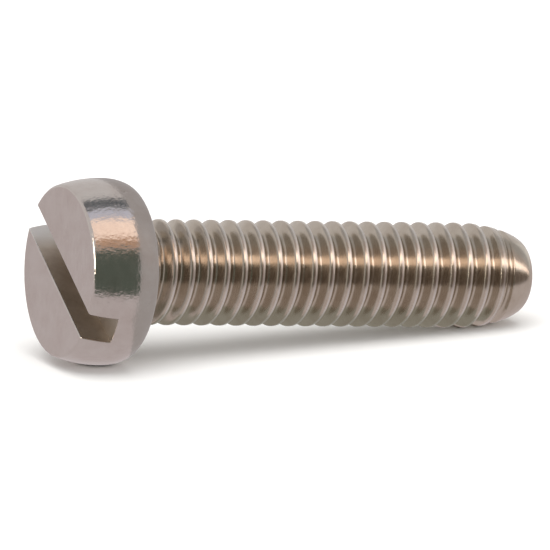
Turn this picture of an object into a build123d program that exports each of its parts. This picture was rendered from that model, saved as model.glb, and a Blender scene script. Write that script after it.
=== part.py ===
from build123d import *
import math
import os

# Slotted cheese head screw, M4 x 16, headed and thread-rolled in one piece.
# It is modelled upright, with the seat under the head at the origin and the shank along +Z,
# and then laid on the ground as it comes to rest. Lengths are in millimetres, angles in degrees.

# Thread
THREAD_D = 3.86  # over the crests
PITCH = 0.7
FLANK_ANGLE = 60.0  # between the two flanks of a groove
CREST_SHARE = 0.24  # of the pitch, flat top of the ridge
ROOT_SHARE = 0.166  # of the pitch, flat bottom of the groove
LEFT_HAND = True
THREAD_START = 149.0  # turn from straight down at which the crest crosses the seat

# Shank
LENGTH = 16.0  # from the seat to the end
NECK_LENGTH = 0.6  # plain blank under the head
NECK_FILLET = 0.2
TIP_LENGTH = 3.1  # over which the end rounds off
TIP_FLAT_D = 2.0
TIP_ROUND_D = 3.92  # where the rounding starts, a touch outside the crests

# Head
HEAD_D = 6.8
HEAD_HEIGHT = 2.6
FACE_EDGE_R = 0.12
CROWN_R = 5.0  # swell of the side, from the face to the widest place
SEAT_EDGE_LENGTH = 0.95  # rounding between side and seat, along the axis
SEAT_EDGE_DEPTH = 0.4  # and across it

# Driving slot
SLOT_WIDTH = 1.1
SLOT_DEPTH = 1.1
SLOT_TURN = 119.3  # from straight down

crest_r = THREAD_D / 2
groove_depth = PITCH * (1 - CREST_SHARE - ROOT_SHARE) / 2 / math.tan(math.radians(FLANK_ANGLE / 2))
root_r = crest_r - groove_depth
# a rolled thread pushes as much metal up as it pushes down
neck_r = crest_r - groove_depth / 2
head_r = HEAD_D / 2
seat_r = head_r - SEAT_EDGE_DEPTH
tip_flat_r = TIP_FLAT_D / 2
tip_round_r = TIP_ROUND_D / 2
dome_z = LENGTH - TIP_LENGTH
room_r = crest_r + PITCH / 2
full_thread_z = NECK_LENGTH + groove_depth + PITCH / 4
first_third_z = full_thread_z + (LENGTH - full_thread_z) / 3
last_third_z = LENGTH - (LENGTH - full_thread_z) / 3


def helix(radius, height, turns):
    """One edge of the thread, from straight down and up along the shank."""
    return Pos(0, 0, height) * Edge.make_helix(PITCH, PITCH * turns, radius, lefthand=LEFT_HAND)


def threaded_rod(start, turns):
    """A solid rod whose side is the thread: crest, flank, root and flank wound side by side."""
    crest = CREST_SHARE * PITCH
    root = ROOT_SHARE * PITCH
    flank = (PITCH - crest - root) / 2
    corners = [
        (crest_r, 0), (crest_r, crest), (root_r, crest + flank), (root_r, PITCH - flank), (crest_r, PITCH),
    ]
    edges = [helix(radius, start + height, turns) for radius, height in corners]
    faces = [Face.make_surface_from_curves(low, high) for low, high in zip(edges, edges[1:])]
    for end in (start, start + PITCH * turns):
        # each end is closed by a ramp of one turn and the step that it leaves
        axis = Edge.make_line((0, 0, end), (0, 0, end + PITCH))
        step = [(0, 0, end), *((radius, 0, end + height) for radius, height in corners), (0, 0, end + PITCH)]
        faces.append(Face.make_surface_from_curves(axis, helix(crest_r, end, 1)))
        faces.append(Face(Wire.make_polygon(step)))
    return Solid(Shell(faces))


def turned(*corners, rounding=None):
    """A solid turned about the axis from its half outline, points as radius and height."""
    with BuildSketch(Plane.XZ) as outline:
        with BuildLine():
            Polyline(*corners)
            if rounding:
                rounding()
        make_face()
    return revolve(outline.sketch, Axis.Z)


def threaded_length(start, end, mould):
    """The thread where a mould leaves it, on the part of the shank between two heights."""
    first_turn = math.floor(start / PITCH) - 1
    turns = math.ceil((end - start) / PITCH) + 3
    rod = threaded_rod((first_turn - CREST_SHARE / 2) * PITCH, turns)
    return Rot(0, 0, THREAD_START) * rod & mould


def thread_runout():
    """The first turn, where the crest grows out of the neck up a 45 degree cone."""
    low_z = NECK_LENGTH / 2
    low_r = neck_r - NECK_LENGTH / 2 + 0.05
    high_r = low_r + full_thread_z - low_z
    mould = turned((0, low_z), (low_r, low_z), (high_r, full_thread_z), (0, full_thread_z), (0, low_z))
    return threaded_length(low_z, full_thread_z, mould)


def full_thread(start, end):
    """Turns of the whole depth."""
    mould = turned((0, start), (room_r, start), (room_r, end), (0, end), (0, start))
    return threaded_length(start, end, mould)


def rounded_end(start):
    """The last turns, which shrink to a small flat end."""

    def dome():
        EllipticalCenterArc((tip_flat_r, dome_z), tip_round_r - tip_flat_r, TIP_LENGTH, 0, arc_size=90)

    mould = turned(
        (tip_flat_r, LENGTH), (0, LENGTH), (0, start), (room_r, start), (room_r, dome_z),
        (tip_round_r, dome_z), rounding=dome,
    )
    return threaded_length(start, LENGTH, mould)


def head_and_neck():
    """Face, swelling side, rounded seat edge, seat and plain neck."""
    face_z = -HEAD_HEIGHT
    widest_z = -SEAT_EDGE_LENGTH
    crown_r = head_r - CROWN_R
    # the small round at the face's edge touches the face and the swelling side
    edge_z = face_z + FACE_EDGE_R
    edge_r = crown_r + math.sqrt((CROWN_R - FACE_EDGE_R) ** 2 - (widest_z - edge_z) ** 2)
    lean = math.degrees(math.atan2(edge_z - widest_z, edge_r - crown_r))
    core_r = root_r / 2
    fade_z = NECK_LENGTH + neck_r - core_r

    def rim():
        CenterArc((edge_r, edge_z), FACE_EDGE_R, -90, 90 + lean)
        CenterArc((crown_r, widest_z), CROWN_R, lean, -lean)
        EllipticalCenterArc((seat_r, widest_z), SEAT_EDGE_DEPTH, SEAT_EDGE_LENGTH, 0, arc_size=90)
        Line((seat_r, 0), (neck_r + NECK_FILLET, 0))
        CenterArc((neck_r + NECK_FILLET, NECK_FILLET), NECK_FILLET, 180, 90)

    return turned(
        (neck_r, NECK_FILLET), (neck_r, NECK_LENGTH), (core_r, fade_z), (0, fade_z), (0, face_z),
        (edge_r, face_z), rounding=rim,
    )


def driving_slot():
    """Parallel walls and a flat floor, right across the face."""
    slot = Box(2 * HEAD_D, SLOT_WIDTH, 2 * SLOT_DEPTH)
    return Pos(0, 0, -HEAD_HEIGHT) * Rot(0, 0, SLOT_TURN) * slot


def lying_tilt():
    """How far the tip dips when the head's rim and the rounded end both touch the ground."""
    tilt = 0.0
    for _ in range(30):
        sine = math.sin(tilt)
        cosine = math.cos(tilt)
        rim_reach = math.hypot(SEAT_EDGE_LENGTH * sine, SEAT_EDGE_DEPTH * cosine)
        end_reach = math.hypot(TIP_LENGTH * sine, (tip_round_r - tip_flat_r) * cosine)
        drop = (seat_r - tip_flat_r) * cosine + rim_reach - end_reach
        tilt = math.asin(drop / (dome_z + SEAT_EDGE_LENGTH))
    return math.degrees(tilt)


upright = head_and_neck() + thread_runout() - driving_slot()
upright = upright + full_thread(full_thread_z, first_third_z) + full_thread(first_third_z, last_third_z)
upright = upright + rounded_end(last_third_z)

# the shank points along +X with its tip down, and the origin is on the ground under the middle
lying = Rot(0, 90 + lying_tilt(), 0) * upright
box = lying.bounding_box()
screw = Pos(-box.center().X, -box.center().Y, -box.min.Z) * lying

os.makedirs("parts", exist_ok=True)
export_step(screw, "parts/cheese_head_screw.step")
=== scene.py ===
"""Looks of a slotted cheese head screw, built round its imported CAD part.

The screw lies on white paper, on the rim of its head and the rounded end of its thread. It is one
closed mesh: a forged head with a milled slot, a plain neck and a rolled thread. Shapes are worked out
in millimetres in the screw's own axes (seat under the head at the origin, shank along +Z, straight
down at turn 0) and laid down into the shared frame at the end.
"""
from __future__ import annotations

import logging
import math
from collections.abc import Iterable, Sequence
from dataclasses import dataclass, field
from enum import Enum
from typing import NamedTuple

import bmesh
import bpy
import numpy as np
from mathutils import Matrix, Vector

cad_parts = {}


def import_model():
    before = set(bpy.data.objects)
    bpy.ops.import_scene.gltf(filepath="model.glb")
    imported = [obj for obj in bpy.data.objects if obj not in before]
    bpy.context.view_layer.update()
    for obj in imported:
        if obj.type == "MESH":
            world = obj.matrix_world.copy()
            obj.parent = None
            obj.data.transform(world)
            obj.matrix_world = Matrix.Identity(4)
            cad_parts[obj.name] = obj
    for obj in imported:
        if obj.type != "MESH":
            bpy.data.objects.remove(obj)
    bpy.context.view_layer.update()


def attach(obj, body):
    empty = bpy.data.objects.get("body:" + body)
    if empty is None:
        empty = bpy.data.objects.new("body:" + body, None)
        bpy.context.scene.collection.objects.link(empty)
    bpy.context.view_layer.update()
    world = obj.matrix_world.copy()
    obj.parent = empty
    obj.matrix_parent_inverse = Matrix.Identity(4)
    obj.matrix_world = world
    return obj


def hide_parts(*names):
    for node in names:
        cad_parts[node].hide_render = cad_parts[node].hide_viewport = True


LOG = logging.getLogger("cheese_head_screw")
MM = 0.001
CAD_NODE = "cheese_head_screw"
# what only mirrors see ends this far above the paper, in metres
CARD_LIFT = 0.0003

Tree = bpy.types.NodeTree
Socket = bpy.types.NodeSocket
Inputs = dict[str | int, object]


class Hand(Enum):
    """Which way the thread winds: its sense of turn, seen from the head."""

    LEFT = -1
    RIGHT = 1


class Zone(Enum):
    """Parts of the surface that were made in different ways: their material slots."""

    FORGED = 0
    ROLLED = 1
    MILLED = 2


@dataclass(frozen=True)
class ScrewSize:
    """Every size of the screw as its CAD part has it, in millimetres and degrees, and how it lies."""

    thread_d: float = 3.86
    pitch: float = 0.7
    crest_share: float = 0.24
    root_share: float = 0.166
    hand: Hand = Hand.LEFT
    thread_start_deg: float = 149.0
    length: float = 16.0
    neck_length: float = 0.6
    neck_fillet: float = 0.2
    runout_lift: float = 0.05
    tip_length: float = 3.1
    tip_flat_d: float = 2.0
    tip_round_d: float = 3.92
    head_d: float = 6.8
    head_height: float = 2.6
    face_edge_r: float = 0.12
    crown_r: float = 5.0
    seat_edge_length: float = 0.95
    seat_edge_depth: float = 0.4
    slot_width: float = 1.1
    slot_depth: float = 1.1
    slot_turn_deg: float = 119.3
    tilt_deg: float = 5.7779
    seat_x: float = -6.5640
    seat_z: float = 3.2984

    @property
    def crest_r(self) -> float:
        """Radius over the crests."""
        return self.thread_d / 2

    @property
    def groove_depth(self) -> float:
        """Depth of a groove with 60 degrees between its flanks."""
        return self.pitch * (1 - self.crest_share - self.root_share) / 2 * math.sqrt(3)

    @property
    def root_r(self) -> float:
        """Radius at the bottom of the grooves."""
        return self.crest_r - self.groove_depth

    @property
    def neck_r(self) -> float:
        """Radius of the blank that the thread was rolled on."""
        return self.crest_r - self.groove_depth / 2

    def lying(self) -> Matrix:
        """The move from the screw's own axes in millimetres to the shared frame in metres."""
        turn = Matrix.Rotation(math.radians(90 + self.tilt_deg), 4, "Y")
        place = Matrix.Translation((self.seat_x * MM, 0.0, self.seat_z * MM))
        return place @ turn @ Matrix.Scale(MM, 4)


# Helpers for objects and nodes


def add_object(name: str, data: bpy.types.ID) -> bpy.types.Object:
    """Makes an object of a mesh, light or camera and puts it in the scene."""
    piece = bpy.data.objects.new(name, data)
    bpy.context.scene.collection.objects.link(piece)
    return piece


def show_to_mirrors_only(piece: bpy.types.Object) -> None:
    """Hides a piece of the studio from everything but glossy reflections."""
    for ray in ("camera", "diffuse", "shadow", "transmission", "volume_scatter"):
        setattr(piece, f"visible_{ray}", False)


def blank_material(name: str) -> bpy.types.Material:
    """Makes a material whose node tree is empty."""
    material = bpy.data.materials.new(name)
    material.use_nodes = True
    material.node_tree.nodes.clear()
    return material


def linear(hex_code: str) -> tuple[float, float, float, float]:
    """Turns an sRGB hex colour into the linear colour that nodes take.

    Args:
        hex_code: six digits after a hash, such as "#BDB4AE".

    Returns:
        Red, green, blue and an alpha of 1.
    """
    parts = [int(hex_code[i : i + 2], 16) / 255 for i in (1, 3, 5)]
    red, green, blue = [p / 12.92 if p <= 0.04045 else ((p + 0.055) / 1.055) ** 2.4 for p in parts]
    return (red, green, blue, 1.0)


def add_node(tree: Tree, kind: str, inputs: Inputs | None = None, **settings: object) -> bpy.types.Node:
    """Adds a node with its settings, and fills its inputs.

    Args:
        tree: the node tree that takes it.
        kind: the node's type name.
        inputs: for each input socket, by name or place, a value or the socket that feeds it.
        **settings: properties of the node itself.

    Returns:
        The new node.
    """
    node = tree.nodes.new(kind)
    for name, value in settings.items():
        setattr(node, name, value)
    for key, value in (inputs or {}).items():
        if isinstance(value, Socket):
            tree.links.new(value, node.inputs[key])
        else:
            node.inputs[key].default_value = value
    return node


def plain_material(name: str, kind: str, inputs: Inputs) -> bpy.types.Material:
    """Makes a material of one shader node.

    Args:
        name: the material's name.
        kind: the shader node's type name.
        inputs: the shader's inputs.

    Returns:
        The material.
    """
    material = blank_material(name)
    shader = add_node(material.node_tree, kind, inputs)
    add_node(material.node_tree, "ShaderNodeOutputMaterial", {"Surface": shader.outputs[0]})
    return material


def add_noise(tree: Tree, inputs: Inputs) -> Socket:
    """Adds a noise texture and returns its grey value."""
    return add_node(tree, "ShaderNodeTexNoise", inputs).outputs["Fac"]


def add_bump(tree: Tree, depth_mm: float, inputs: Inputs) -> Socket:
    """Adds a bump of full strength and returns its normal."""
    given = {"Strength": 1.0, "Distance": depth_mm * MM, **inputs}
    return add_node(tree, "ShaderNodeBump", given).outputs[0]


def mix_colours(tree: Tree, share: Socket, low: object, high: object) -> Socket:
    """Mixes two colours, given as values or sockets, by a share from 0 to 1."""
    return add_node(tree, "ShaderNodeMix", {0: share, 6: low, 7: high}, data_type="RGBA").outputs[2]


def remap(tree: Tree, value: Socket, source: tuple[float, float], target: tuple[float, float]) -> Socket:
    """Moves a number from one range to another and holds it there."""
    ends = dict(zip(("From Min", "From Max", "To Min", "To Max"), source + target))
    return add_node(tree, "ShaderNodeMapRange", {"Value": value, **ends}).outputs[0]


@dataclass(frozen=True)
class Field:
    """A number in a node tree, so that a formula in nodes reads as a formula."""

    tree: Tree
    socket: Socket

    def calc(self, operation: str, *others: Field | float) -> Field:
        """Feeds this number, and any others, into one Math node."""
        node = add_node(self.tree, "ShaderNodeMath", operation=operation)
        for place, value in enumerate((self, *others)):
            if isinstance(value, Field):
                self.tree.links.new(value.socket, node.inputs[place])
            else:
                node.inputs[place].default_value = value
        return Field(self.tree, node.outputs[0])

    def __add__(self, other: Field | float) -> Field:
        """The sum."""
        return self.calc("ADD", other)

    def __sub__(self, other: Field | float) -> Field:
        """The difference."""
        return self.calc("SUBTRACT", other)

    def __mul__(self, other: Field | float) -> Field:
        """The product."""
        return self.calc("MULTIPLY", other)

    def __truediv__(self, other: Field | float) -> Field:
        """The quotient."""
        return self.calc("DIVIDE", other)


# Finishes


@dataclass(frozen=True)
class SteelFinish:
    """Austenitic stainless steel as one way of working leaves it.

    Attributes:
        name: the material's name.
        tint: colour of the steel, sRGB hex.
        stain: colour of the film that the process left in patches, sRGB hex.
        stain_share: how much of the surface the film darkens, 0 to 1.
        roughness: lowest and highest roughness over the surface.
        dimple_mm: size of the dimples from tumbling or from the die.
        dimple_depth_mm: how deep they are.
        drag_mm: width, run and depth of the drag marks; the run is along the screw's own X.
        patch_mm: size of the film's patches.
        film_noise: noise values between which the film goes from none to its share.
        sheen_noise: noise values between which the roughness goes from low to high.
        painted_highlight_tint: colour of the painted highlight, sRGB hex.
        painted_highlight_roughness: roughness under the painted highlight.
    """

    name: str
    tint: str
    stain: str
    stain_share: float
    roughness: tuple[float, float]
    dimple_mm: float
    dimple_depth_mm: float
    drag_mm: tuple[float, float, float]
    patch_mm: float = 1 / 1.1
    film_noise: tuple[float, float] = (0.35, 0.75)
    sheen_noise: tuple[float, float] = (0.3, 0.7)
    # colour and roughness of the painted highlight
    painted_highlight_tint: str = "#EDEBE8"
    painted_highlight_roughness: float = 0.55

    def build(self) -> bpy.types.Material:
        """Makes the node material."""
        material = blank_material(self.name)
        tree = material.node_tree
        place = add_node(tree, "ShaderNodeAttribute", attribute_name="own_mm").outputs["Vector"]
        dimples = add_noise(tree, {"Vector": place, "Scale": 1 / self.dimple_mm, "Detail": 2.0})
        width, run, depth = self.drag_mm
        stretch = (1 / run, 1 / width, 1 / width)
        drawn = add_node(tree, "ShaderNodeMapping", {"Vector": place, "Scale": stretch})
        drags = add_noise(tree, {"Vector": drawn.outputs[0], "Scale": 1.0, "Detail": 3.0})
        patches = add_noise(
            tree, {"Vector": place, "Scale": 1 / self.patch_mm, "Detail": 4.0, "Roughness": 0.65}
        )
        # a thin film in patches: the eye takes the steel for handled metal, not for chrome
        film = remap(tree, patches, self.film_noise, (0.0, self.stain_share))
        colour = mix_colours(tree, film, linear(self.tint), linear(self.stain))
        # the sheen changes along the drag marks, so a mirrored lamp gets a slightly ragged edge
        rough = remap(tree, drags, self.sheen_noise, self.roughness)
        # painted highlight: where its mask is set the steel takes a light colour and a higher roughness, so
        # it stays light also beside a surface that mirrors the dark
        painted_highlight_share = add_node(tree, "ShaderNodeAttribute", attribute_name="painted_highlight_share").outputs["Fac"]
        colour = mix_colours(tree, painted_highlight_share, colour, linear(self.painted_highlight_tint))
        rough = add_node(
            tree, "ShaderNodeMix", {0: painted_highlight_share, 2: rough, 3: self.painted_highlight_roughness}, data_type="FLOAT"
        ).outputs[0]
        # dimples and drag marks break up what the steel mirrors, as on a part from a tumbling drum
        coarse = add_bump(tree, self.dimple_depth_mm, {"Height": dimples})
        fine = add_bump(tree, depth, {"Height": drags, "Normal": coarse})
        given = {"Base Color": colour, "Metallic": 1.0, "Roughness": rough, "Normal": fine}
        shader = add_node(tree, "ShaderNodeBsdfPrincipled", given)
        add_node(tree, "ShaderNodeOutputMaterial", {"Surface": shader.outputs[0]})
        return material


# cold forged, then tumbled clean: a soft sheen that blurs what it mirrors, with faint drag marks
FORGED = SteelFinish(
    name="stainless, cold forged and tumbled",
    tint="#CFC9C3",
    stain="#BDB0A8",
    stain_share=0.5,
    roughness=(0.14, 0.22),
    dimple_mm=0.13,
    dimple_depth_mm=0.009,
    drag_mm=(0.09, 1.4, 0.0005),
)
# rolled between dies, with some oil left in the grooves: a slightly softer mirror; its tint, browner and
# darker than the head's, is partly the oily rolled finish and partly painted shade for the shade and
# bounced light in the thread's own grooves
ROLLED = SteelFinish(
    name="stainless, rolled thread",
    tint="#C8BFB2",
    stain="#A39380",
    stain_share=0.5,
    roughness=(0.17, 0.27),
    dimple_mm=0.14,
    dimple_depth_mm=0.0014,
    drag_mm=(0.06, 0.5, 0.0003),
)
# sawn with a slitting cutter: dull walls that keep some of the brown oil
MILLED = SteelFinish(
    name="stainless, milled slot with oil film",
    tint="#C6BDB2",
    stain="#A3978A",
    stain_share=0.8,
    roughness=(0.34, 0.5),
    dimple_mm=0.1,
    dimple_depth_mm=0.0012,
    drag_mm=(0.03, 2.0, 0.0010),
)


@dataclass(frozen=True)
class PaperFinish:
    """Matt white paper, as a background for product pictures."""

    name: str = "matt white paper"
    tint: str = "#F2F1EF"
    roughness: float = 0.6

    def build(self) -> bpy.types.Material:
        """Makes the node material: an even matt white, on which the eye sees only the soft shadow."""
        given = {"Color": linear(self.tint), "Roughness": self.roughness}
        return plain_material(self.name, "ShaderNodeBsdfDiffuse", given)


@dataclass(frozen=True)
class GlowFinish:
    """An even surface that only shines, for what the steel mirrors."""

    name: str
    tint: str
    strength: float

    def build(self) -> bpy.types.Material:
        """Makes the node material: one even tone, which the eye sees only as a band on the steel."""
        given = {"Color": linear(self.tint), "Strength": self.strength}
        return plain_material(self.name, "ShaderNodeEmission", given)


# The thread


@dataclass
class RolledThread:
    """Neck, thread and rounded end, wound in nodes so that every edge of the mesh follows the helix.

    Attributes:
        size: the screw's sizes.
        segments: faces round one turn.
        rows_per_pitch: faces along one pitch.
        crest_rounding: how far the crest's rounded corners reach, in radius.
        root_rounding: the same at the bottom of the groove.
        runout_rounding: the same where the run-out's cone cuts the crests.
        neck_rounding: the same where the thread leaves the neck.
        tip_rounding: the same where the rounded end cuts the thread.
        closing_share: share of a pitch that closes the flat end.
        weld: distance under which points are joined.
        start_height: where the mesh starts on the neck, between fillet and first turn.
        tree: the node tree.
    """

    size: ScrewSize
    segments: int = 80
    rows_per_pitch: int = 28
    crest_rounding: float = 0.09
    root_rounding: float = 0.22
    runout_rounding: float = 0.06
    neck_rounding: float = 0.04
    tip_rounding: float = 0.03
    closing_share: float = 0.9
    weld: float = 0.0005
    start_height: float = 0.3
    tree: Tree = field(init=False)

    def __post_init__(self) -> None:
        """Makes the empty node tree."""
        self.tree = bpy.data.node_groups.new("rolled thread", "GeometryNodeTree")

    def values(self) -> dict[str, float | int]:
        """What the tree's named inputs are set to.

        Returns:
            A value for each name; whole numbers are counts, the rest are in millimetres or turns.
        """
        s = self.size
        half_neck = s.neck_length / 2
        return {
            "Pitch": s.pitch,
            "Crest Radius": s.crest_r,
            "Root Radius": s.root_r,
            "Crest Width": s.crest_share * s.pitch,
            "Crest Rounding": self.crest_rounding,
            "Root Rounding": self.root_rounding,
            "Hand": float(s.hand.value),
            "Start Turn": s.thread_start_deg / 360,
            "Neck Length": s.neck_length,
            "Neck Radius": s.neck_r,
            "Run-out Offset": s.neck_r - half_neck + s.runout_lift - half_neck,
            "Tip Height": s.length - s.tip_length,
            "Tip Length": s.tip_length,
            "Tip Flat Radius": s.tip_flat_d / 2,
            "Tip Round Radius": s.tip_round_d / 2,
            "Start Height": self.start_height,
            "End Height": s.length,
            "Pitches": math.ceil(s.length / s.pitch) + 3,
            "Segments": self.segments,
            "Rows per Pitch": self.rows_per_pitch,
        }

    def _inputs(self) -> dict[str, Field]:
        """Returns:
            The inputs as fields, by name.
        """
        face = self.tree.interface
        for name, value in self.values().items():
            kind = "NodeSocketInt" if isinstance(value, int) else "NodeSocketFloat"
            face.new_socket(name, in_out="INPUT", socket_type=kind)
        face.new_socket("Steel", in_out="INPUT", socket_type="NodeSocketMaterial")
        face.new_socket("Geometry", in_out="OUTPUT", socket_type="NodeSocketGeometry")
        source = add_node(self.tree, "NodeGroupInput")
        return {s.name: Field(self.tree, s) for s in source.outputs if s.name}

    def _radius(self, given: dict[str, Field], winding: Field, height: Field) -> Field:
        """Distance from the axis for a place on the thread.

        Args:
            given: the tree's inputs.
            winding: whole pitches wound so far, whole numbers on a crest.
            height: distance from the seat.

        Returns:
            The radius as a field.
        """
        from_crest = ((winding + 0.5).calc("FRACT") - 0.5).calc("ABSOLUTE") * given["Pitch"]
        flank = given["Crest Radius"] - (from_crest - given["Crest Width"] * 0.5) * math.sqrt(3)
        groove = flank.calc("SMOOTH_MAX", given["Root Radius"], given["Root Rounding"])
        ridge = groove.calc("SMOOTH_MIN", given["Crest Radius"], given["Crest Rounding"])
        # the first turn grows up a 45 degree cone out of the neck
        grown = ridge.calc("SMOOTH_MIN", height + given["Run-out Offset"], self.runout_rounding)
        past_neck = (height - given["Neck Length"]).calc("MAXIMUM", 0.0)
        with_neck = grown.calc("SMOOTH_MAX", given["Neck Radius"] - past_neck, self.neck_rounding)
        into_tip = ((height - given["Tip Height"]) / given["Tip Length"]).calc("MAXIMUM", 0.0)
        shrink = ((into_tip * into_tip) * -1.0 + 1.0).calc("MAXIMUM", 0.0).calc("SQRT")
        dome = given["Tip Flat Radius"] + (given["Tip Round Radius"] - given["Tip Flat Radius"]) * shrink
        return with_neck.calc("SMOOTH_MIN", dome, self.tip_rounding)

    def _wire(self) -> None:
        """Builds the node tree: a sheet of faces wound once a pitch, welded to itself."""
        tree = self.tree
        given = self._inputs()
        across = given["Segments"] + 1.0
        along = given["Pitches"] * given["Rows per Pitch"] + 1.0
        counts = {"Vertices X": across.socket, "Vertices Y": along.socket}
        sheet = add_node(tree, "GeometryNodeMeshGrid", {"Size X": 1.0, "Size Y": 1.0, **counts})
        position = add_node(tree, "GeometryNodeInputPosition").outputs[0]
        flat = add_node(tree, "ShaderNodeSeparateXYZ", {0: position})
        # the sheet is one unit wide and long round its middle: a turn across and every pitch along
        turn = Field(tree, flat.outputs["X"]) + 0.5
        winding = (Field(tree, flat.outputs["Y"]) + 0.5) * given["Pitches"] - 1.0
        wound = (winding + given["Hand"] * (turn - given["Start Turn"])) * given["Pitch"]
        height = wound.calc("MAXIMUM", given["Start Height"]).calc("MINIMUM", given["End Height"])
        # what winds on past the end closes the flat end down to its middle
        past_end = (wound - given["End Height"]) / (given["Pitch"] * self.closing_share)
        over = past_end.calc("MAXIMUM", 0.0).calc("MINIMUM", 1.0)
        radius = self._radius(given, winding, height) * (over * -1.0 + 1.0)
        angle = turn * math.tau
        x = radius * angle.calc("COSINE")
        y = radius * angle.calc("SINE")
        place = add_node(tree, "ShaderNodeCombineXYZ", {"X": x.socket, "Y": y.socket, "Z": height.socket})
        shape = sheet.outputs["Mesh"]
        for kind, inputs in (
            ("GeometryNodeSetPosition", {"Position": place.outputs[0]}),
            ("GeometryNodeMergeByDistance", {"Distance": self.weld}),
            ("GeometryNodeSetShadeSmooth", {}),
            ("GeometryNodeRealizeInstances", {}),
            ("GeometryNodeSetMaterial", {"Material": given["Steel"].socket}),
        ):
            shape = add_node(tree, kind, {"Geometry": shape, **inputs}).outputs[0]
        add_node(tree, "NodeGroupOutput", {"Geometry": shape})

    def build(self, steel: bpy.types.Material) -> bpy.types.Mesh:
        """Runs the tree once and returns its result as a plain mesh, open at the neck.

        Args:
            steel: the finish that Set Material gives it.

        Returns:
            The mesh, in the screw's own axes and millimetres.
        """
        self._wire()
        carrier = add_object("thread carrier", bpy.data.meshes.new("thread carrier"))
        modifier = carrier.modifiers.new("rolled thread", "NODES")
        modifier.node_group = self.tree
        given = {**self.values(), "Steel": steel}
        for item in self.tree.interface.items_tree:
            if item.in_out == "INPUT":
                modifier[item.identifier] = given[item.name]
        evaluated = carrier.evaluated_get(bpy.context.evaluated_depsgraph_get())
        mesh = bpy.data.meshes.new_from_object(evaluated)
        carrier.modifiers.remove(modifier)
        bpy.data.objects.remove(carrier)
        return mesh


# The head


class OutlinePoint(NamedTuple):
    """A point of the head's turned outline, with the direction that the surface faces there."""

    radius: float
    height: float
    out_r: float
    out_z: float


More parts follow.
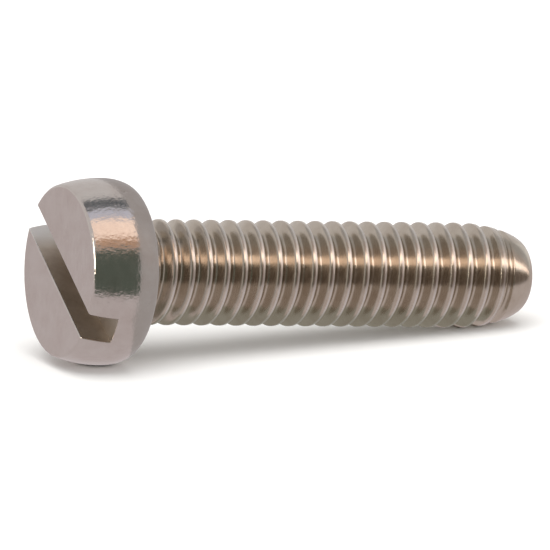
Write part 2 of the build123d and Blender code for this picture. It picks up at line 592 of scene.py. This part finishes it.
@dataclass
class ForgedHead:
    """The head: a turned outline with a slot across it, in patches of faces that follow both.

    Attributes:
        size: the screw's sizes.
        columns: faces round each half of the rim.
        across: faces across the slot.
        break_r: rounding of the slot's edges.
        break_rows: faces across that rounding.
        edge_rows: faces down the round at the face's edge.
        wall_rows: faces from there down to the slot's floor.
        crown_rows: faces from the floor down to the widest place.
        rim_rows: faces round the seat's edge.
        seat_rows: faces across the seat.
        fillet_rows: faces round the neck's fillet.
        face_rows: faces across each half of the face.
        weld: distance under which points are joined.
    """

    size: ScrewSize
    columns: int = 132
    across: int = 10
    break_r: float = 0.04
    break_rows: int = 4
    edge_rows: int = 8
    wall_rows: int = 15
    crown_rows: int = 8
    rim_rows: int = 20
    seat_rows: int = 7
    fillet_rows: int = 6
    face_rows: int = 24
    weld: float = 0.0001

    def __post_init__(self) -> None:
        """Works out the heights and radii that several patches share."""
        s = self.size
        self.face_z = -s.head_height
        self.floor_z = self.face_z + s.slot_depth
        self.half = s.slot_width / 2
        self.mouth = self.half + self.break_r
        self.widest_z = -s.seat_edge_length
        self.crown_mid_r = s.head_d / 2 - s.crown_r
        self.edge_z = self.face_z + s.face_edge_r
        reach = (s.crown_r - s.face_edge_r) ** 2 - (self.widest_z - self.edge_z) ** 2
        self.edge_r = self.crown_mid_r + math.sqrt(reach)

    def _on_crown(self, z: float) -> OutlinePoint:
        """The point of the swelling side at a height."""
        s = self.size
        up = (z - self.widest_z) / s.crown_r
        out = math.sqrt(1 - up * up)
        return OutlinePoint(self.crown_mid_r + s.crown_r * out, z, out, up)

    def _slotted_outline(self) -> list[OutlinePoint]:
        """The outline from the face's edge down to just above the slot's floor.

        Returns:
            Its points, in order.
        """
        s = self.size
        lean = math.atan2(self.edge_z - self.widest_z, self.edge_r - self.crown_mid_r)
        rows = []
        for i in range(self.edge_rows):
            turn = -math.pi / 2 + (math.pi / 2 + lean) * i / self.edge_rows
            out_r = math.cos(turn)
            out_z = math.sin(turn)
            radius = self.edge_r + s.face_edge_r * out_r
            rows.append(OutlinePoint(radius, self.edge_z + s.face_edge_r * out_z, out_r, out_z))
        top = self.widest_z + s.crown_r * math.sin(lean)
        heights = np.linspace(top, self.floor_z - self.break_r, self.wall_rows + 1)
        return rows + [self._on_crown(float(z)) for z in heights]

    def _whole_outline(self) -> list[tuple[float, float]]:
        """The outline from just below the slot's floor, round the rim and the seat, to the neck.

        Returns:
            Its points as radius and height, in order.
        """
        s = self.size
        seat_r = s.head_d / 2 - s.seat_edge_depth
        fillet_r = s.neck_r + s.neck_fillet
        heights = np.linspace(self.floor_z + self.break_r, self.widest_z, self.crown_rows + 1)[:-1]
        rows = [self._on_crown(float(z))[:2] for z in heights]
        for i in range(self.rim_rows + 1):
            turn = math.pi / 2 * i / self.rim_rows
            down = s.seat_edge_length * math.sin(turn)
            rows.append((seat_r + s.seat_edge_depth * math.cos(turn), self.widest_z + down))
        rows += [(float(r), 0.0) for r in np.linspace(seat_r, fillet_r, self.seat_rows + 1)[1:-1]]
        for i in range(self.fillet_rows + 1):
            turn = math.pi / 2 * i / self.fillet_rows
            height = s.neck_fillet - s.neck_fillet * math.cos(turn)
            rows.append((fillet_r - s.neck_fillet * math.sin(turn), height))
        return rows

    def _half_turn(self, edge: float) -> np.ndarray:
        """Angles from one side of the slot round to the other, where the slot takes an angle each side."""
        return edge + (math.pi - 2 * edge) * np.linspace(0, 1, self.columns + 1)

    @staticmethod
    def _arc(radius: float, height: float, angles: np.ndarray) -> np.ndarray:
        """Places round the axis at one height, one to a row."""
        return np.stack([radius * np.cos(angles), radius * np.sin(angles), np.full_like(angles, height)], 1)

    @staticmethod
    def _patch(bm: bmesh.types.BMesh, points: Iterable[Iterable[Sequence[float]]], zone: Zone) -> None:
        """Adds a grid of faces.

        Args:
            bm: the mesh being built.
            points: places by row and column.
            zone: how this part of the surface was made.
        """
        corners = [[bm.verts.new(p) for p in row] for row in points]
        for low, high in zip(corners, corners[1:]):
            for a, b, c, d in zip(low, low[1:], high[1:], high):
                face = bm.faces.new((a, b, c, d))
                face.material_index = zone.value
                face.smooth = True

    def _rim(self, bm: bmesh.types.BMesh) -> None:
        """Adds the side of both halves, the seat, and the side under the slot's two ends.

        Args:
            bm: the mesh being built.
        """
        slotted = [point[:2] for point in self._slotted_outline()]
        whole = self._whole_outline()
        top_r, top_z = whole[0]
        fixed = math.asin(self.mouth / top_r)
        under_slot = fixed * np.linspace(-1, 1, self.across + 1)
        for side in (1, -1):
            rows = []
            for r, z in slotted + whole:
                edge = max(fixed, math.asin(self.mouth / r)) if z < top_z else fixed
                rows.append(self._arc(r, z, self._half_turn(edge)) * (1, side, 1))
            self._patch(bm, rows, Zone.FORGED)
            ends = [self._arc(r, z, under_slot) * (side, 1, 1) for r, z in whole]
            self._patch(bm, ends, Zone.FORGED)

    def _face(self, bm: bmesh.types.BMesh) -> None:
        """Adds the two half-moons of the face.

        Args:
            bm: the mesh being built.
        """
        rim = self._arc(self.edge_r, self.face_z, self._half_turn(math.asin(self.mouth / self.edge_r)))
        for side in (1, -1):
            rows = []
            for share in np.linspace(0, 1, self.face_rows + 1):
                row = rim.copy()
                row[:, 1] = side * (self.mouth + (rim[:, 1] - self.mouth) * share)
                rows.append(row)
            self._patch(bm, rows, Zone.FORGED)

    def _broken_edge(self, end: int, share: float, step: int, out: OutlinePoint | None) -> Vector:
        """A place on the rounding between the outside and the slot.

        Args:
            end: which end of the slot, as a sign.
            share: where across the slot, -1 and 1 at its walls.
            step: 0 on the outside, break_rows on the slot's own surface.
            out: the outline beside the wall, or None along the floor, where the step gives it.

        Returns:
            The place in the slot's axes.
        """
        turn = math.pi / 2 * step / self.break_rows
        away = self.break_r * (1 - math.sin(turn))
        sunk = self.break_r * (1 - math.cos(turn))
        radius, height, out_r, out_z = self._on_crown(self.floor_z + away) if out is None else out
        wide = share * (self.half + away)
        reach = math.sqrt(radius * radius - wide * wide)
        lean = out_r * reach / radius
        norm = math.hypot(lean, out_z)
        return Vector((end * (reach - sunk * lean / norm), wide, height - sunk * out_z / norm))

    def _slot(self, bm: bmesh.types.BMesh) -> None:
        """Adds the slot's walls and floor, and the rounded edges between them and the outside.

        Args:
            bm: the mesh being built.
        """
        outline = self._slotted_outline()
        down = [*outline, None]
        edge = math.asin(self.mouth / self.edge_r)
        chord = np.cos(self._half_turn(edge)) / math.cos(edge)
        steps = range(self.break_rows + 1)

        def drawn_along(places: Iterable[Vector]) -> list[list[Vector]]:
            """Rows along the slot, each from a place at one end of it."""
            return [[Vector((place.x * c, place.y, place.z)) for c in chord] for place in places]

        for wall in (1, -1):
            mouth = [self._broken_edge(1, wall, step, outline[0]) for step in steps]
            self._patch(bm, drawn_along(mouth), Zone.FORGED)
            for end in (1, -1):
                strip = [[self._broken_edge(end, wall, step, out) for out in down] for step in steps]
                self._patch(bm, strip, Zone.FORGED)
            inner = [self._broken_edge(1, wall, self.break_rows, out) for out in down]
            self._patch(bm, drawn_along(inner), Zone.MILLED)
        below = self._on_crown(self.floor_z + self.break_r)
        turns = math.asin(self.mouth / below.radius) * np.linspace(-1, 1, self.across + 1)
        shares = (np.sin(turns) / np.sin(turns[-1])).tolist()
        floor_edge = [self._broken_edge(1, share, self.break_rows, None) for share in shares]
        self._patch(bm, drawn_along(floor_edge), Zone.MILLED)
        for end in (1, -1):
            lip = [[self._broken_edge(end, share, step, None) for share in shares] for step in steps]
            self._patch(bm, lip, Zone.FORGED)

    def build(self, bm: bmesh.types.BMesh) -> None:
        """Adds the head, turned to the screw's own axes and open at the neck.

        Args:
            bm: the mesh being built.
        """
        self._rim(bm)
        self._face(bm)
        self._slot(bm)
        bmesh.ops.remove_doubles(bm, verts=bm.verts, dist=self.weld)
        turn = Matrix.Rotation(math.radians(self.size.slot_turn_deg), 3, "Z")
        bmesh.ops.rotate(bm, verts=bm.verts, cent=(0, 0, 0), matrix=turn)


@dataclass(frozen=True)
class Dent:
    """A small mark from knocking about in a box of screws.

    Attributes:
        turn_deg: where round the head, from straight down.
        height: where along the axis.
        radius: how wide, in millimetres.
        depth: how deep; below zero it is a burr.
        side_mm: how far out from the axis the side of the head begins.
        reach: how far the mark reaches, in radii.
        falloff: how fast its depth falls with the square of that distance.
    """

    turn_deg: float
    height: float
    radius: float
    depth: float
    side_mm: float = 2.5
    reach: float = 2.5
    falloff: float = 1.5

    def press(self, bm: bmesh.types.BMesh) -> None:
        """Pushes the head's surface in round the mark.

        Args:
            bm: the mesh of the head, in the screw's own axes.
        """
        turn = math.radians(self.turn_deg)
        out = Vector((math.cos(turn), math.sin(turn), 0.0))
        for vert in bm.verts:
            if vert.co.z > 0.0 or vert.co.dot(out) < self.side_mm:
                continue
            round_by = (vert.co - out * vert.co.dot(out)).xy.length
            away = math.hypot(round_by, vert.co.z - self.height) / self.radius
            if away < self.reach:
                vert.co -= out * self.depth * math.exp(-away * away * self.falloff)


# The whole screw


@dataclass(frozen=True)
class PaintedHighlight:
    """Where light is painted on the screw: a painted highlight along the tip side of the crests and at one
    end of the slot.

    Attributes:
        crest_share: how strong the painted highlight on the crests is, 0 to 1.
        past_crest: where the painted light line runs, in pitches past the crest's middle.
        crest_width: how fast it fades to both sides, in pitches.
        tip_gap: length before the screw's end that gets no painted highlight.
        tip_fade: length over which the painted highlight fades before that.
        slot_share: how strong the painted highlight at the slot's end is, 0 to 1.
        slot_from: where along the slot it starts, from the axis.
        slot_fade: length over which it grows.
        skin: how far outside the slot's walls and floor a place still belongs to the slot.
    """

    crest_share: float = 0.7
    past_crest: float = 0.05
    crest_width: float = 0.06
    tip_gap: float = 1.0
    tip_fade: float = 0.8
    slot_share: float = 0.9
    slot_from: float = 1.9
    slot_fade: float = 0.7
    skin: float = 0.01

    def shares(self, size: ScrewSize, own: np.ndarray) -> np.ndarray:
        """How strongly each place takes the painted highlight.

        Args:
            size: the screw's sizes.
            own: places in the screw's own axes, in millimetres.

        Returns:
            A share from 0 to 1 for each place.
        """
        x, y, z = own.T
        turn = np.arctan2(y, x) / math.tau
        winding = z / size.pitch - size.hand.value * (turn - size.thread_start_deg / 360)
        from_crest = (winding + 0.5) % 1.0 - 0.5
        # painted highlight: a light line along the tip-side edge of each crest, where a lamp glints
        crest = np.exp(-(((from_crest - self.past_crest) / self.crest_width) ** 2)) * (z > size.neck_length)
        crest *= np.clip((size.length - self.tip_gap - z) / self.tip_fade, 0.0, 1.0)
        slot = math.radians(size.slot_turn_deg)
        along = x * math.cos(slot) + y * math.sin(slot)
        across = y * math.cos(slot) - x * math.sin(slot)
        in_slot = np.abs(across) < size.slot_width / 2 + self.skin
        in_slot &= z < size.slot_depth - size.head_height + self.skin
        # painted highlight: the far end of the slot's walls and floor, painted light where it catches
        # bright light
        end = np.clip((along - self.slot_from) / self.slot_fade, 0.0, 1.0) * in_slot
        return np.maximum(crest * self.crest_share, end * self.slot_share).astype(np.float32)


@dataclass
class Screw:
    """The whole screw as one closed mesh.

    Attributes:
        size: its sizes.
        dents: the knocks on its head.
        painted_highlights: where a highlight is painted on it.
        sharp_deg: turn between two faces from which their edge stays sharp.
    """

    size: ScrewSize = field(default_factory=ScrewSize)
    dents: tuple[Dent, ...] = (
        Dent(201.0, -0.84, 0.1, 0.045),
        Dent(286.5, -1.93, 0.08, 0.04),
    )
    painted_highlights: PaintedHighlight = field(default_factory=PaintedHighlight)
    sharp_deg: float = 50.0

    def build(self) -> bpy.types.Object:
        """Builds head and thread, joins them at the neck and lays the screw down.

        Returns:
            The finished object at the origin of the shared frame.
        """
        steels = {Zone.FORGED: FORGED.build(), Zone.ROLLED: ROLLED.build(), Zone.MILLED: MILLED.build()}
        thread = RolledThread(self.size).build(steels[Zone.ROLLED])
        bm = bmesh.new()
        ForgedHead(self.size).build(bm)
        for dent in self.dents:
            dent.press(bm)
        head_faces = len(bm.faces)
        bm.from_mesh(thread)
        bpy.data.meshes.remove(thread)
        bm.faces.ensure_lookup_table()
        for face in bm.faces[head_faces:]:
            face.material_index = Zone.ROLLED.value
        seam = [edge for edge in bm.edges if edge.is_boundary]
        joined = bmesh.ops.bridge_loops(bm, edges=seam)
        for face in joined["faces"]:
            face.material_index = Zone.ROLLED.value
            face.smooth = True
        bmesh.ops.recalc_face_normals(bm, faces=bm.faces)
        open_edges = sum(1 for edge in bm.edges if not edge.is_manifold)
        own = np.array([vert.co for vert in bm.verts], np.float32)
        mesh = bpy.data.meshes.new("screw")
        bm.to_mesh(mesh)
        bm.free()
        mesh.attributes.new("own_mm", "FLOAT_VECTOR", "POINT").data.foreach_set("vector", own.ravel())
        # painted highlight: how strongly each point takes the light colour on crests and slot end
        painted_highlight_share = self.painted_highlights.shares(self.size, own)
        mesh.attributes.new("painted_highlight_share", "FLOAT", "POINT").data.foreach_set("value", painted_highlight_share)
        mesh.transform(self.size.lying())
        mesh.set_sharp_from_angle(angle=math.radians(self.sharp_deg))
        for zone in Zone:
            mesh.materials.append(steels[zone])
        triangles = sum(len(p.vertices) - 2 for p in mesh.polygons)
        LOG.info("screw: %d triangles, %d open edges", triangles, open_edges)
        return add_object("screw", mesh)


# The studio


@dataclass(frozen=True)
class PhotoView:
    """Where the picture was taken from: a long lens, from the head's side and a little above.

    Attributes:
        azimuth_deg: turn from looking along +Y.
        elevation_deg: how far above level.
        distance: from the seat, in metres.
        frame_mm: width of the picture at the seat.
        seat_px: where the seat's middle falls in the picture.
        picture_px: width of the picture.
        sensor_mm: width of the camera's sensor.
    """

    azimuth_deg: float = -24.5
    elevation_deg: float = 12.5
    distance: float = 0.5
    frame_mm: float = 19.97
    seat_px: tuple[float, float] = (124.0, 271.7)
    picture_px: int = 550
    sensor_mm: float = 36.0

    def axes(self) -> tuple[Vector, Vector, Vector]:
        """The picture's own directions.

        Returns:
            Right, up and back, in the shared frame.
        """
        a = math.radians(self.azimuth_deg)
        e = math.radians(self.elevation_deg)
        right = Vector((math.cos(a), math.sin(a), 0.0))
        up = Vector((-math.sin(a) * math.sin(e), math.cos(a) * math.sin(e), math.cos(e)))
        back = Vector((math.sin(a) * math.cos(e), -math.cos(a) * math.cos(e), math.sin(e)))
        return right, up, back

    def build(self, seat: Vector) -> bpy.types.Object:
        """Adds the camera.

        Args:
            seat: the middle of the seat under the head, in the shared frame.

        Returns:
            The camera, which is also the scene's.
        """
        right, up, back = self.axes()
        step = self.frame_mm * MM / self.picture_px
        middle = self.picture_px / 2
        aim = seat + right * ((middle - self.seat_px[0]) * step) - up * ((middle - self.seat_px[1]) * step)
        data = bpy.data.cameras.new("photo camera")
        data.sensor_width = self.sensor_mm
        data.lens = self.sensor_mm * self.distance / (self.frame_mm * MM)
        data.clip_start = 0.01
        data.clip_end = 20.0
        camera = add_object("photo camera", data)
        turn = Matrix((right, up, back)).transposed().to_4x4()
        camera.matrix_world = Matrix.Translation(aim + back * self.distance) @ turn
        bpy.context.scene.camera = camera
        LOG.info("camera: %.0f mm lens at %s", data.lens, tuple(round(c, 4) for c in camera.location))
        return camera


def add_mirrored(finish: GlowFinish, bm: bmesh.types.BMesh) -> bpy.types.Object:
    """Turns a mesh being built into a piece that only mirrors see.

    Args:
        finish: how it shines; the piece takes its name.
        bm: the mesh, which is freed.

    Returns:
        The piece.
    """
    mesh = bpy.data.meshes.new(finish.name)
    bm.to_mesh(mesh)
    bm.free()
    mesh.materials.append(finish.build())
    piece = add_object(finish.name, mesh)
    show_to_mirrors_only(piece)
    return piece


@dataclass(frozen=True)
class Card:
    """A patch of the studio that only mirrors see: part of a ball about a place on the screw's axis.

    Attributes:
        finish: how it shines.
        around_deg: lower and upper edge, as angles round the screw's axis from the camera's side.
        along_deg: ends towards head and tip, as angles from square to the axis.
        radius: its distance, in metres.
        centre_mm: where on the axis the ball's middle is, from the seat.
        cuts: faces along each of its sides.
    """

    finish: GlowFinish
    around_deg: tuple[float, float]
    along_deg: tuple[float, float]
    radius: float = 0.22
    centre_mm: float = 0.0
    cuts: int = 16

    def build(self, seat: Vector, axis: Vector, near: Vector, up: Vector) -> bpy.types.Object:
        """Adds the patch; what would lie below the paper is drawn in to just over it.

        Args:
            seat: the middle of the seat under the head.
            axis: along the shank.
            near: square to the axis, towards the camera.
            up: square to both.

        Returns:
            The patch.
        """
        middle = seat + axis * self.centre_mm * MM
        bm = bmesh.new()
        rows = []
        for around in np.radians(np.linspace(*self.around_deg, self.cuts + 1)):
            square = near * math.cos(around) + up * math.sin(around)
            row = []
            for along in np.radians(np.linspace(*self.along_deg, self.cuts + 1)):
                out = square * math.cos(along) + axis * math.sin(along)
                reach = self.radius
                if middle.z + out.z * reach < CARD_LIFT:
                    reach = (CARD_LIFT - middle.z) / out.z
                row.append(bm.verts.new(middle + out * reach))
            rows.append(row)
        for low, high in zip(rows, rows[1:]):
            for a, b, c, d in zip(low, low[1:], high[1:], high):
                bm.faces.new((a, b, c, d))
        return add_mirrored(self.finish, bm)


def card_by_the_thread(name: str, tint: str, strength: float, around_deg: tuple[float, float]) -> Card:
    """A card close round the shank, from beside the head to behind the tip."""
    return Card(GlowFinish(f"{name} by the thread", tint, strength), around_deg, (-62.0, 88.0), 0.016, 17.0)


@dataclass(frozen=True)
class Collar:
    """A flat ring just past the seat, so that the head's rim mirrors plain grey and not the cards.

    Attributes:
        finish: how it shines.
        inner_mm: its inner radius.
        outer_mm: its outer radius.
        past_seat_mm: how far along the shank.
        corners: points round it.
    """

    finish: GlowFinish = GlowFinish("grey collar", "#B6B2B2", 1.0)
    inner_mm: float = 2.3
    outer_mm: float = 5.5
    past_seat_mm: float = 0.2
    corners: int = 48

    def build(self, lying: Matrix) -> bpy.types.Object:
        """Adds the ring; what would lie below the paper is lifted to just over it.

        Args:
            lying: the move from the screw's own axes to the shared frame.

        Returns:
            The ring.
        """
        bm = bmesh.new()
        rings = []
        for radius in (self.inner_mm, self.outer_mm):
            ring = []
            for step in range(self.corners):
                turn = math.tau * step / self.corners
                spot = lying @ Vector((radius * math.cos(turn), radius * math.sin(turn), self.past_seat_mm))
                spot.z = max(spot.z, CARD_LIFT)
                ring.append(bm.verts.new(spot))
            rings.append(ring)
        inner, outer = rings
        for step in range(self.corners):
            after = (step + 1) % self.corners
            bm.faces.new((inner[step], inner[after], outer[after], outer[step]))
        return add_mirrored(self.finish, bm)


@dataclass(frozen=True)
class Sheet:
    """A level sheet; one that glows is for mirrors only.

    Attributes:
        name: the piece's name.
        finish: what it is made of.
        height: how high it lies, in metres.
        low: its corner with the lowest X and Y, in metres.
        high: the opposite corner.
    """

    name: str
    finish: PaperFinish | GlowFinish
    height: float
    low: tuple[float, float] = (-3.0, -3.0)
    high: tuple[float, float] = (3.0, 3.0)

    def build(self) -> bpy.types.Object:
        """Adds the sheet.

        Returns:
            The sheet.
        """
        left, front = self.low
        right, rear = self.high
        outline = ((left, front), (right, front), (right, rear), (left, rear))
        corners = [(x, y, self.height) for x, y in outline]
        mesh = bpy.data.meshes.new(self.name)
        mesh.from_pydata(corners, [], [(0, 1, 2, 3)])
        mesh.materials.append(self.finish.build())
        sheet = add_object(self.name, mesh)
        if isinstance(self.finish, GlowFinish):
            show_to_mirrors_only(sheet)
        return sheet


@dataclass(frozen=True)
class SoftBox:
    """A square lamp over the paper, aimed at the origin; mirrors don't see it.

    Attributes:
        place: where it hangs, in metres.
        width: its side, in metres.
        watts: its power.
    """

    place: tuple[float, float, float] = (-0.05, -0.08, 0.45)
    width: float = 0.5
    watts: float = 1.6

    def build(self) -> bpy.types.Object:
        """Adds the lamp.

        Returns:
            The lamp.
        """
        data = bpy.data.lights.new("soft box", "AREA")
        data.shape = "SQUARE"
        data.size = self.width
        data.energy = self.watts
        lamp = add_object("soft box", data)
        lamp.location = self.place
        lamp.rotation_euler = (-Vector(self.place)).to_track_quat("-Z", "Y").to_euler()
        lamp.visible_glossy = False
        return lamp


@dataclass
class Studio:
    """White paper under a soft white sky and a soft box, the camera, and what only mirrors see.

    Attributes:
        view: the camera.
        lamp: the soft box.
        sky_strength: how bright the even white world is.
        sheets: the paper; the table, an even glow that only the steel mirrors in the paper's place, a
            painted reflection of the paper in shade; and the painted shade under the thread on it.
        cards: lamps, window and rooms in the steel.
    """

    view: PhotoView = field(default_factory=PhotoView)
    lamp: SoftBox = field(default_factory=SoftBox)
    sky_strength: float = 0.92
    sheets: tuple[Sheet, ...] = (
        Sheet("paper", PaperFinish(), 0.0),
        # painted reflection: the table is no table but an even glow, darker and warmer than the lit paper,
        # which mirrors see in the paper's place as paper in shade
        Sheet("table", GlowFinish("painted reflection of paper in shade", "#D0C7C8", 1.0), CARD_LIFT / 3),
        Sheet(
            "shade under the thread",
            GlowFinish("shade under the thread", "#A2A19A", 1.0),
            CARD_LIFT / 2,
            (-0.0064, -0.0015),
            (0.0072, 0.006),
        ),
    )
    cards: tuple[Card, ...] = (
        # what the head mirrors
        Card(GlowFinish("dark room", "#737E73", 0.58), (-25.0, 27.0), (-95.0, 38.0)),
        Card(GlowFinish("warm lamp", "#FFE6D6", 1.45), (41.0, 66.0), (-14.0, 34.0)),
        Card(GlowFinish("foot of the lamp", "#CDA283", 0.95), (29.0, 41.0), (-14.0, 34.0)),
        Card(GlowFinish("window", "#DEE4F8", 0.95), (69.0, 80.0), (-14.0, 30.0)),
        Card(GlowFinish("gap over the window", "#8D949C", 0.5), (83.0, 99.0), (-20.0, 34.0)),
        Card(GlowFinish("lamp before the head", "#FFF2E0", 6.0), (2.0, 46.0), (-70.0, -40.0), 0.012, -2.6),
        Card(GlowFinish("pale room", "#DDDADA", 1.0), (-4.0, 166.0), (-90.0, 48.0), 0.3),
        # what the thread mirrors
        card_by_the_thread("dark room", "#5A5049", 1.4, (-24.0, 18.0)),
        card_by_the_thread("lamp", "#FFECE2", 2.7, (24.0, 43.0)),
        card_by_the_thread("shade", "#BCB2AE", 1.0, (43.0, 70.0)),
        card_by_the_thread("haze", "#B8B8BA", 1.0, (70.0, 112.0)),
    )

    def sky(self) -> None:
        """Makes the world an even soft white."""
        world = bpy.data.worlds.new("soft white room")
        bpy.context.scene.world = world
        world.use_nodes = True
        tree = world.node_tree
        tree.nodes.clear()
        given = {"Color": linear("#FFFFFF"), "Strength": self.sky_strength}
        glow = add_node(tree, "ShaderNodeBackground", given)
        add_node(tree, "ShaderNodeOutputWorld", {"Surface": glow.outputs[0]})

    def build(self, size: ScrewSize) -> list[bpy.types.Object]:
        """Adds sky, lamp, camera, sheets, cards and collar.

        Args:
            size: the screw's sizes, for where its axis lies.

        Returns:
            The meshes that aren't part of the object.
        """
        lying = size.lying()
        seat = lying @ Vector((0.0, 0.0, 0.0))
        axis = (lying.to_3x3() @ Vector((0.0, 0.0, 1.0))).normalized()
        _, _, back = self.view.axes()
        near = (back - axis * back.dot(axis)).normalized()
        up = axis.cross(near) * -1.0
        self.sky()
        self.lamp.build()
        self.view.build(seat)
        stage = [sheet.build() for sheet in self.sheets]
        stage += [card.build(seat, axis, near, up) for card in self.cards]
        stage.append(Collar().build(lying))
        bpy.context.scene.view_settings.view_transform = "Standard"
        LOG.info("studio: %d stage meshes", len(stage))
        return stage


def main() -> None:
    """Builds the scene in order: frame, screw, studio."""
    logging.basicConfig(level=logging.INFO, format="%(name)s: %(message)s")
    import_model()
    screw = Screw()
    shown = screw.build()
    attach(shown, "root")
    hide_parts(CAD_NODE)
    Studio().build(screw.size)


if __name__ == "__main__":
    main()
